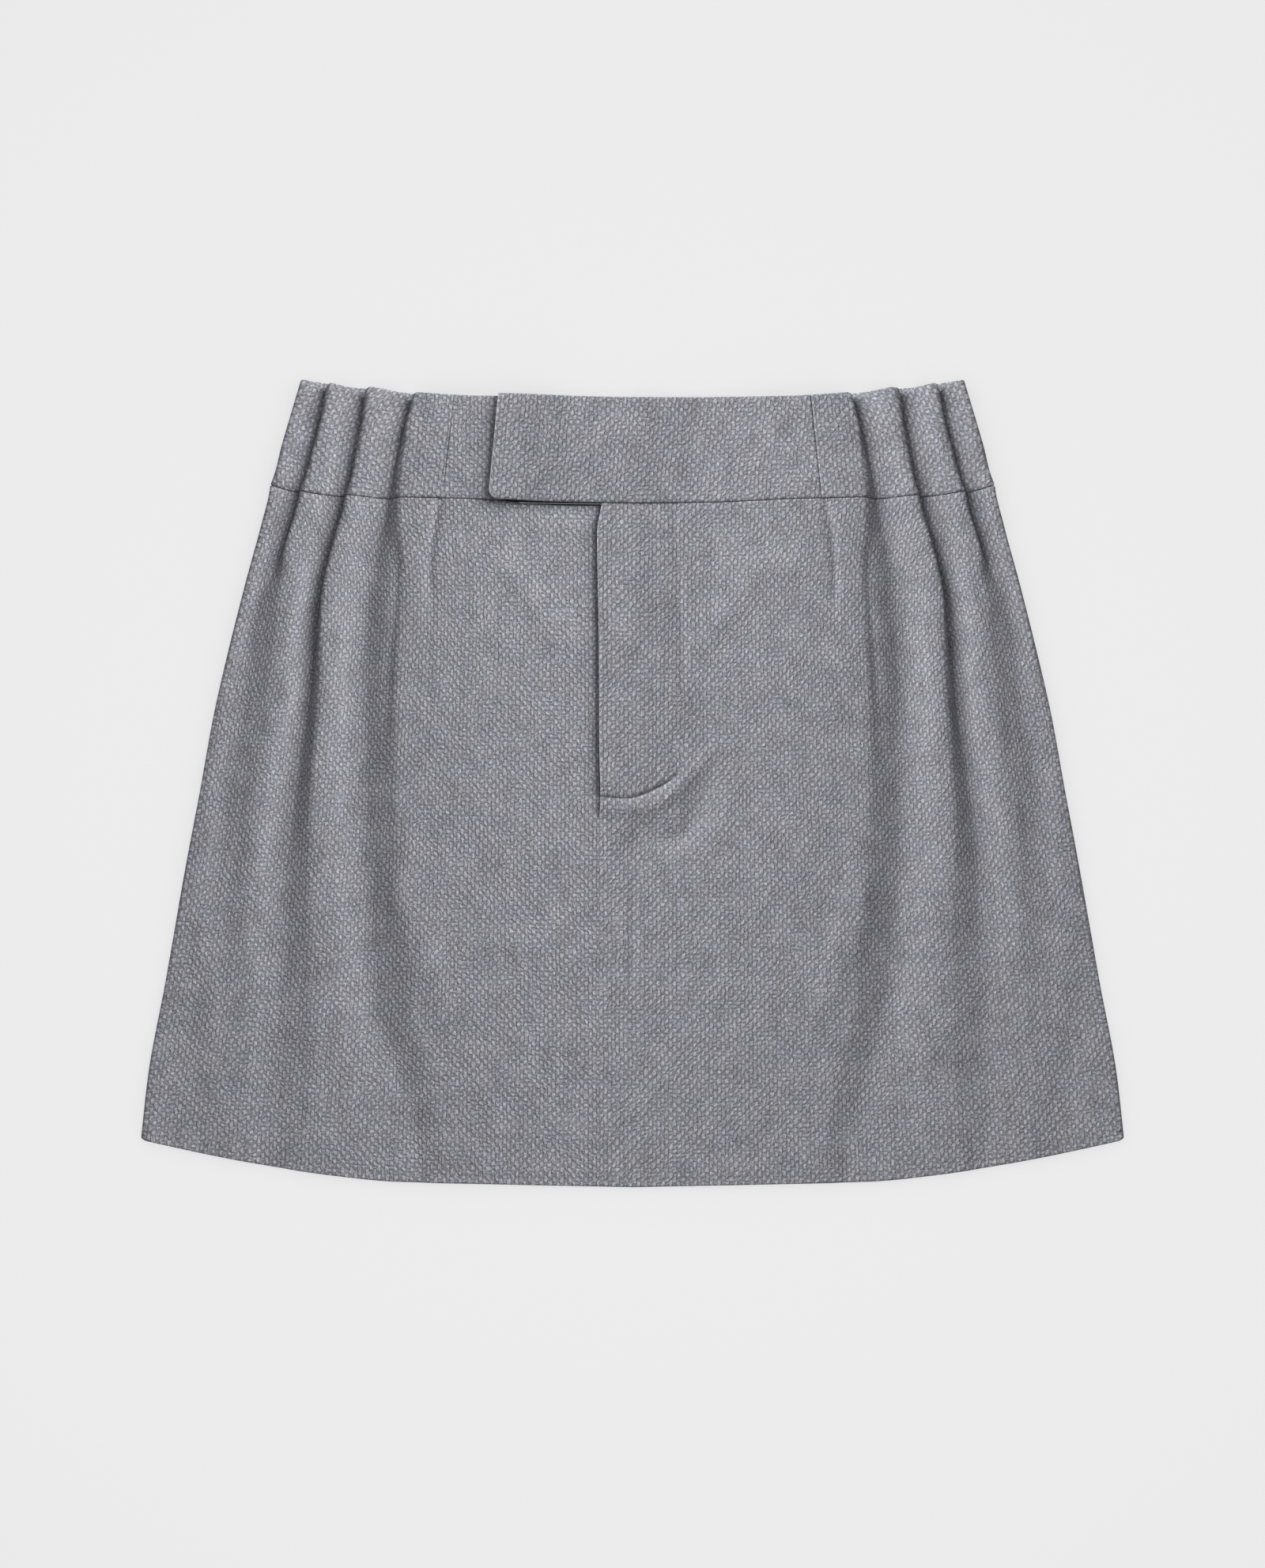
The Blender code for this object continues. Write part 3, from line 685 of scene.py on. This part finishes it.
def cloth_wall(name, cloth, wall, face_up):
    """A closed wall of cloth round its middle surface, with rounded edges and its cloth coordinates as a UV map."""
    rows, columns = cloth.places.shape[:2]
    radius = EDGE_ROUNDING * wall / 2
    near = np.clip(1 - cloth.edge / radius, 0.0, 1.0)
    half = (wall / 2 - radius) + radius * np.sqrt(np.maximum(1 - near * near, 0.0))
    normals = surface_normals(cloth.places) * (1 if face_up else -1)
    outer = cloth.places + normals * half[..., None]
    inner = cloth.places - normals * half[..., None]
    points = np.vstack([outer.reshape(-1, 3), inner.reshape(-1, 3)]) * MM
    index = np.arange(rows * columns).reshape(rows, columns)
    quads = np.stack([index[:-1, :-1], index[:-1, 1:], index[1:, 1:], index[1:, :-1]], -1).reshape(-1, 4)
    below = quads[:, ::-1] + rows * columns
    rim = np.concatenate([index[0, :], index[1:, -1], index[-1, -2::-1], index[-2:0:-1, 0]])
    following = np.roll(rim, -1)
    sides = np.stack([rim, rim + rows * columns, following + rows * columns, following], -1)
    faces = np.vstack([quads, below, sides])
    if not face_up:
        faces = faces[:, ::-1]
    mesh = bpy.data.meshes.new(name)
    mesh.from_pydata(points.tolist(), [], faces.tolist())
    flat = np.vstack([cloth.cloth.reshape(-1, 2)] * 2) * MM
    layer = mesh.uv_layers.new(name="cloth")
    layer.uv.foreach_set("vector", flat[faces.reshape(-1)].reshape(-1))
    mesh.polygons.foreach_set("use_smooth", np.ones(len(mesh.polygons), bool))
    mesh.validate()
    piece = bpy.data.objects.new(name, mesh)
    bpy.context.scene.collection.objects.link(piece)
    return piece


def declare(piece, node):
    """Put the piece under the root body and hide the solid that it stands for."""
    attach(piece, "root")
    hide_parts(node)


def add_node(tree, kind, settings=(), **inputs):
    """A shader node with its settings; each input is a value or the socket that feeds it."""
    node = tree.nodes.new(kind)
    for name, value in dict(settings).items():
        setattr(node, name, value)
    for name, value in inputs.items():
        socket = node.inputs[int(name[1:])] if name[0] == "_" else node.inputs[name.replace("_", " ")]
        if isinstance(value, bpy.types.NodeSocket):
            tree.links.new(value, socket)
        else:
            socket.default_value = value
    return node


def calc(tree, operation, first, second=0.0, third=0.0):
    """Result of a calculation with up to three numbers."""
    node = add_node(tree, "ShaderNodeMath", {"operation": operation}, _0=first, _1=second, _2=third)
    return node.outputs[0]


def vector_calc(tree, operation, first, second):
    """Result of a calculation with two vectors."""
    node = add_node(tree, "ShaderNodeVectorMath", {"operation": operation}, _0=first, _1=second)
    return node.outputs[0]


def soft_noise(tree, place, scale, detail):
    """Node of a soft, cloudy noise."""
    return add_node(tree, "ShaderNodeTexNoise", Vector=place, Scale=scale, Detail=detail)


def ramp(tree, value, low, high, to_low=0.0, to_high=1.0):
    """Soft step from to_low to to_high as the value goes from low to high."""
    settings = {"interpolation_type": "SMOOTHSTEP", "clamp": True}
    node = add_node(tree, "ShaderNodeMapRange", settings, _0=value, _1=low, _2=high, _3=to_low, _4=to_high)
    return node.outputs[0]


def mixed_colour(tree, share, first, second):
    """Colour between two others, by a share from 0 to 1."""
    settings = {"data_type": "RGBA", "clamp_factor": True}
    return add_node(tree, "ShaderNodeMix", settings, _0=share, _6=first, _7=second).outputs[2]


def group_sockets(tree, inputs, outputs):
    """Give a node group its named inputs and outputs, and return both rows of sockets."""
    for name, kind in inputs:
        tree.interface.new_socket(name, in_out="INPUT", socket_type=kind)
    for name, kind in outputs:
        tree.interface.new_socket(name, in_out="OUTPUT", socket_type=kind)
    return tree.nodes.new("NodeGroupInput").outputs, tree.nodes.new("NodeGroupOutput").inputs


def stray(tree, place, scale, detail, reach):
    """Offset in any direction by a soft noise, up to the reach."""
    colour = soft_noise(tree, place, scale, detail).outputs["Color"]
    centred = vector_calc(tree, "SUBTRACT", colour, (0.5, 0.5, 0.5))
    return add_node(tree, "ShaderNodeVectorMath", {"operation": "SCALE"}, _0=centred, Scale=reach).outputs[0]


def plain_weave():
    """Node group of a plain weave in thick woollen yarns: long warp floats, offset by half from end to end."""
    tree = bpy.data.node_groups.new("plain weave", "ShaderNodeTree")
    inputs = (
        ("Cloth", "NodeSocketVector"),
        ("Warp pitch", "NodeSocketFloat"),
        ("Weft pitch", "NodeSocketFloat"),
        ("Wander", "NodeSocketFloat"),
    )
    outputs = (
        ("Height", "NodeSocketFloat"),
        ("Float", "NodeSocketFloat"),
        ("Shade", "NodeSocketFloat"),
        ("Cool", "NodeSocketFloat"),
    )
    given, result = group_sockets(tree, inputs, outputs)
    place = given["Cloth"]
    for scale, detail, reach in ((*YARN_STRAY, given["Wander"]), *FIBRE_STRAYS):
        place = vector_calc(tree, "ADD", place, stray(tree, given["Cloth"], scale, detail, reach))
    apart = add_node(tree, "ShaderNodeSeparateXYZ", Vector=place).outputs
    u = calc(tree, "DIVIDE", apart["X"], given["Warp pitch"])
    v = calc(tree, "DIVIDE", apart["Y"], given["Weft pitch"])

    end = calc(tree, "FLOOR", u)
    across = calc(tree, "SUBTRACT", calc(tree, "FRACT", u), 0.5)
    lean = ramp(tree, soft_noise(tree, given["Cloth"], *LEAN_NOISE).outputs[0], *NOISE_RANGE, *LEAN_RANGE)
    odd = calc(tree, "FLOORED_MODULO", end, 2.0)
    w = calc(tree, "MULTIPLY", calc(tree, "ADD", v, odd), 0.5)
    w = calc(tree, "MULTIPLY_ADD", across, lean, w)
    cell = add_node(tree, "ShaderNodeCombineXYZ", X=end, Y=calc(tree, "FLOOR", w), Z=0.0).outputs[0]
    chance = add_node(tree, "ShaderNodeTexWhiteNoise", {"noise_dimensions": "3D"}, Vector=cell).outputs["Value"]
    chance = calc(tree, "SUBTRACT", chance, 0.5)
    from_middle = calc(tree, "ABSOLUTE", calc(tree, "MULTIPLY_ADD", calc(tree, "FRACT", w), 2.0, -1.0))
    from_middle = calc(tree, "MULTIPLY_ADD", chance, CHANCE_IN_LENGTH, from_middle)
    up = ramp(tree, from_middle, *FLOAT_ENDS, 1.0, 0.0)
    beside = ramp(tree, calc(tree, "ABSOLUTE", across), *FLOAT_SIDES, 1.0, 0.0)
    weft = ramp(tree, from_middle, *WEFT_SHOWS, 0.0, WEFT_HEIGHT)
    warp = calc(tree, "ADD", calc(tree, "MULTIPLY", beside, up), weft)

    from_end_to_end, along, level = STREAK_STEPS
    x, y = calc(tree, "MULTIPLY", end, from_end_to_end), calc(tree, "MULTIPLY", v, along)
    strand = add_node(tree, "ShaderNodeCombineXYZ", X=x, Y=y, Z=level).outputs[0]
    streak = soft_noise(tree, strand, *STREAK_NOISE).outputs[0]
    fibre = soft_noise(tree, given["Cloth"], *FIBRE_NOISE).outputs[0]
    cloud = soft_noise(tree, given["Cloth"], *CLOUD_NOISE).outputs[0]
    aside = vector_calc(tree, "ADD", given["Cloth"], TINT_OFFSET)
    tint = soft_noise(tree, aside, *TINT_NOISE).outputs[0]
    streak, fibre, cloud = [calc(tree, "SUBTRACT", noise, 0.5) for noise in (streak, fibre, cloud)]
    chance = calc(tree, "MULTIPLY", chance, warp)
    tint = calc(tree, "MULTIPLY_ADD", chance, CHANCE_IN_TINT, tint)

    height = calc(tree, "MULTIPLY_ADD", fibre, FIBRE_IN_HEIGHT, warp)
    shade = calc(tree, "MULTIPLY", chance, CHANCE_IN_SHADE)
    for part, share in ((streak, STREAK_IN_SHADE), (fibre, FIBRE_IN_SHADE), (cloud, CLOUD_IN_SHADE)):
        shade = calc(tree, "MULTIPLY_ADD", part, share, shade)
    tree.links.new(height, result["Height"])
    tree.links.new(warp, result["Float"])
    tree.links.new(shade, result["Shade"])
    tree.links.new(ramp(tree, tint, *NOISE_RANGE), result["Cool"])
    return tree


def wool(name, weave, colours, sizes):
    """Marled grey wool in the plain weave, with painted shade in the dips between its floats."""
    made = bpy.data.materials.new(name)
    made.use_nodes = True
    tree = made.node_tree
    shader = tree.nodes["Principled BSDF"]
    cloth = add_node(tree, "ShaderNodeUVMap", {"uv_map": "cloth"}).outputs[0]
    woven = add_node(tree, "ShaderNodeGroup", {"node_tree": weave}, Cloth=cloth, Wander=sizes.wander)
    woven.inputs["Warp pitch"].default_value = sizes.warp_pitch
    woven.inputs["Weft pitch"].default_value = sizes.weft_pitch
    floats = mixed_colour(tree, woven.outputs["Cool"], (*colours.warm_float, 1.0), (*colours.cool_float, 1.0))
    # The dips between the floats are coloured darker than the floats: painted shade of the weave's hollows.
    dips = mixed_colour(tree, woven.outputs["Cool"], (*colours.warm_shaded_dip, 1.0), (*colours.cool_shaded_dip, 1.0))
    colour = mixed_colour(tree, woven.outputs["Float"], dips, floats)
    factor = calc(tree, "MULTIPLY_ADD", woven.outputs["Shade"], sizes.marl, 1.0)
    colour = add_node(tree, "ShaderNodeVectorMath", {"operation": "SCALE"}, _0=colour, Scale=factor).outputs[0]
    tree.links.new(colour, shader.inputs["Base Color"])
    bump = add_node(tree, "ShaderNodeBump", Height=woven.outputs["Height"], Distance=sizes.weave_height)
    tree.links.new(bump.outputs[0], shader.inputs["Normal"])
    shader.inputs["Roughness"].default_value = 0.95
    shader.inputs["Specular IOR Level"].default_value = 0.15
    shader.inputs["Sheen Weight"].default_value = 0.12
    shader.inputs["Sheen Roughness"].default_value = 0.6
    return made


def wool_of(name):
    """The wool of this name, made when it is first asked for."""
    scene = bpy.context.scene
    weave = bpy.data.node_groups.get("plain weave") or plain_weave()
    return bpy.data.materials.get(name) or wool(name, weave, scene.skirt_colours, scene.skirt_sizes)


class SkirtSizes(bpy.types.PropertyGroup):
    """Sizes of the cloth and its weave"""

    body_wall: bpy.props.FloatProperty(
        name="Body cloth", description="Thickness of the body's wall of cloth", default=0.0018, unit="LENGTH"
    )
    band_wall: bpy.props.FloatProperty(
        name="Waistband cloth", description="Thickness of the doubled waistband", default=0.0024, unit="LENGTH"
    )
    crease_share: bpy.props.FloatProperty(
        name="Creases", description="Depth of the soft creases, 1 as worn", default=1.0, subtype="FACTOR"
    )
    warp_pitch: bpy.props.FloatProperty(
        name="Warp pitch", description="Distance from one warp yarn to the next", default=0.00206, unit="LENGTH"
    )
    weft_pitch: bpy.props.FloatProperty(
        name="Weft pitch", description="Distance from one weft yarn to the next", default=0.00236, unit="LENGTH"
    )
    weave_height: bpy.props.FloatProperty(
        name="Weave height", description="Height of a float over the dips beside it", default=0.00028, unit="LENGTH"
    )
    wander: bpy.props.FloatProperty(
        name="Wander", description="How far the yarns stray from straight lines", default=0.0022, unit="LENGTH"
    )
    marl: bpy.props.FloatProperty(
        name="Marl", description="How much light and dark fibres differ", default=0.55, subtype="FACTOR"
    )


class SkirtColours(bpy.types.PropertyGroup):
    """Colours of the yarns, with painted shade in the dips between the floats, and of the table"""

    warm_float: bpy.props.FloatVectorProperty(
        name="Warm float", description="Raised yarn, warmer fibres", default=(0.332, 0.327, 0.351), subtype="COLOR"
    )
    cool_float: bpy.props.FloatVectorProperty(
        name="Cool float", description="Raised yarn, cooler fibres", default=(0.320, 0.321, 0.363), subtype="COLOR"
    )
    # The dip colours are darker than the float colours: painted shade in the hollows of the weave, on top of the
    # bump's own shading.
    warm_shaded_dip: bpy.props.FloatVectorProperty(
        name="Warm dip", description="Yarn in a dip, warmer fibres", default=(0.162, 0.160, 0.175), subtype="COLOR"
    )
    cool_shaded_dip: bpy.props.FloatVectorProperty(
        name="Cool dip", description="Yarn in a dip, cooler fibres", default=(0.155, 0.157, 0.181), subtype="COLOR"
    )
    table: bpy.props.FloatVectorProperty(
        name="Table", description="Colour of the table", default=(0.82, 0.82, 0.82), subtype="COLOR"
    )


class SkirtLight(bpy.types.PropertyGroup):
    """Strength of the studio's lights"""

    key: bpy.props.FloatProperty(
        name="Key", description="Power of each soft side light", default=102.0, unit="POWER"
    )
    table: bpy.props.FloatProperty(
        name="Table light", description="Power of the light over the table", default=58.0, unit="POWER"
    )
    room: bpy.props.FloatProperty(
        name="Room", description="Strength of the even light from all round", default=0.36
    )


class SKIRT_OT_fronts(bpy.types.Operator):
    """Make the two pleated fronts"""

    bl_idname = "skirt.fronts"
    bl_label = "Fronts"

    def execute(self, context):
        sizes = context.scene.skirt_sizes
        wall = sizes.body_wall / MM
        for side, name in ((-1, "left"), (1, "right")):
            cloth = body_cloth(side, wall, sizes.crease_share)
            piece = cloth_wall(f"front_{name}", cloth, wall, side > 0)
            piece.data.materials.append(wool_of("woven_body"))
            declare(piece, f"body_front_{name}")
        return {"FINISHED"}


class SKIRT_OT_waistband(bpy.types.Operator):
    """Make the waistband: pleated sides, plain left front and right front with its tab"""

    bl_idname = "skirt.waistband"
    bl_label = "Waistband"

    def execute(self, context):
        wall = context.scene.skirt_sizes.band_wall / MM
        pieces = (
            ("waistband_side_left", "band_side_left", side_band(-1, wall), False, SIDE_BAND_FLAT),
            ("waistband_side_right", "band_side_right", side_band(1, wall), True, SIDE_BAND_FLAT),
            ("waistband_front_left", "band_front_left", left_front_band(wall), False, LEFT_BAND_FLAT),
            ("waistband_tab", "band_front_right", tab_band(wall), True, TAB_FLAT),
        )
        for name, node, cloth, face_up, flat in pieces:
            piece = cloth_wall(name, cloth, wall, face_up)
            piece.data.materials.append(wool_of("woven_band"))
            declare(piece, node)
        return {"FINISHED"}


class SKIRT_OT_back(bpy.types.Operator):
    """Make the flat back of the body and of the waistband"""

    bl_idname = "skirt.back"
    bl_label = "Back"

    def execute(self, context):
        sizes = context.scene.skirt_sizes
        body, band = sizes.body_wall / MM, sizes.band_wall / MM
        cloth = flat_cloth(HEM_EDGE, BAND_SEAM, (0.0, 1.0), body, 0.0, SEAM_GAP / 2)
        piece = cloth_wall("back", cloth, body, True)
        piece.data.materials.append(wool_of("woven_body"))
        declare(piece, "body_back")
        cloth = flat_cloth(BAND_SEAM, WAIST_EDGE, (1.0, 2.0), band, SEAM_GAP / 2, SEAM_GAP)
        piece = cloth_wall("waistband_back", cloth, band, True)
        piece.data.materials.append(wool_of("woven_band"))
        declare(piece, "band_back")
        return {"FINISHED"}


def soft_light(name, location, size, power, lit, shades=True):
    """A square area light that shines on the middle of the skirt, and only on the named pieces.

    Without shades, only the named pieces cast a shadow in it.
    """
    bpy.ops.object.light_add(type="AREA", location=location)
    lamp = bpy.context.object
    lamp.name = name
    lamp.data.shape = "SQUARE"
    lamp.data.size = size
    lamp.data.energy = power
    lamp.rotation_euler = (-lamp.location).to_track_quat("-Z", "Y").to_euler()
    receivers = bpy.data.collections.new(f"lit_by_{name}")
    for piece in lit:
        receivers.objects.link(bpy.data.objects[piece])
    lamp.light_linking.receiver_collection = receivers
    if not shades:
        lamp.light_linking.blocker_collection = receivers


class SKIRT_OT_stage(bpy.types.Operator):
    """Make the table, the soft studio light and the camera above the skirt"""

    bl_idname = "skirt.stage"
    bl_label = "Stage"

    def execute(self, context):
        scene, light = context.scene, context.scene.skirt_light
        bpy.ops.object.select_all(action="DESELECT")
        bpy.ops.mesh.primitive_plane_add(size=TABLE_SIZE)
        floor = context.object
        floor.name = "floor"
        paint = bpy.data.materials.new("pale_table")
        paint.use_nodes = True
        shader = paint.node_tree.nodes["Principled BSDF"]
        shader.inputs["Base Color"].default_value = tuple(scene.skirt_colours.table) + (1.0,)
        shader.inputs["Roughness"].default_value = 0.9
        shader.inputs["Specular IOR Level"].default_value = 0.1
        floor.data.materials.append(paint)

        left = ("front_left", "waistband_side_left", "waistband_front_left", "waistband_back")
        right = ("front_right", "waistband_side_right", "waistband_tab", "back")
        key_x, key_y, key_z = KEY_PLACE
        soft_light("key_for_left", (key_x, key_y, key_z), KEY_SIZE, light.key, left)
        soft_light("key_for_right", (-key_x, key_y, key_z), KEY_SIZE, light.key, right)
        soft_light("table_light", TABLE_LIGHT_PLACE, TABLE_LIGHT_SIZE, light.table, ("floor",), shades=False)

        room = bpy.data.worlds.new("studio")
        room.use_nodes = True
        room.node_tree.nodes["Background"].inputs["Color"].default_value = (1.0, 1.0, 1.0, 1.0)
        room.node_tree.nodes["Background"].inputs["Strength"].default_value = light.room
        scene.world = room
        scene.view_settings.view_transform = "Standard"

        bpy.ops.object.camera_add(location=(0.0, CAMERA_Y, CAMERA_HEIGHT + CLOTH_LEVEL), rotation=(0.0, 0.0, 0.0))
        camera = context.object
        camera.data.sensor_width = CAMERA_SENSOR
        camera.data.lens = CAMERA_LENS
        scene.camera = camera
        return {"FINISHED"}


class SKIRT_PT_panel(bpy.types.Panel):
    """The skirt's pieces and settings"""

    bl_label = "Pleated Mini Skirt"
    bl_space_type = "VIEW_3D"
    bl_region_type = "UI"
    bl_category = "Skirt"

    def draw(self, context):
        layout = self.layout
        for group in (context.scene.skirt_sizes, context.scene.skirt_colours, context.scene.skirt_light):
            for name in group.__annotations__:
                layout.prop(group, name)
        for operator in OPERATORS:
            layout.operator(operator.bl_idname)


OPERATORS = (SKIRT_OT_fronts, SKIRT_OT_waistband, SKIRT_OT_back, SKIRT_OT_stage)
CLASSES = (SkirtSizes, SkirtColours, SkirtLight, *OPERATORS, SKIRT_PT_panel)


def register():
    """Make the operators, the panel and the settings known to Blender."""
    for each in CLASSES:
        bpy.utils.register_class(each)
    bpy.types.Scene.skirt_sizes = bpy.props.PointerProperty(type=SkirtSizes)
    bpy.types.Scene.skirt_colours = bpy.props.PointerProperty(type=SkirtColours)
    bpy.types.Scene.skirt_light = bpy.props.PointerProperty(type=SkirtLight)


def unregister():
    """Take away what register() has made known."""
    del bpy.types.Scene.skirt_light
    del bpy.types.Scene.skirt_colours
    del bpy.types.Scene.skirt_sizes
    for each in reversed(CLASSES):
        bpy.utils.unregister_class(each)


def main():
    register()
    bpy.ops.skirt.fronts()
    bpy.ops.skirt.waistband()
    bpy.ops.skirt.back()
    bpy.ops.skirt.stage()
    bpy.context.view_layer.update()


if __name__ == "__main__":
    main()
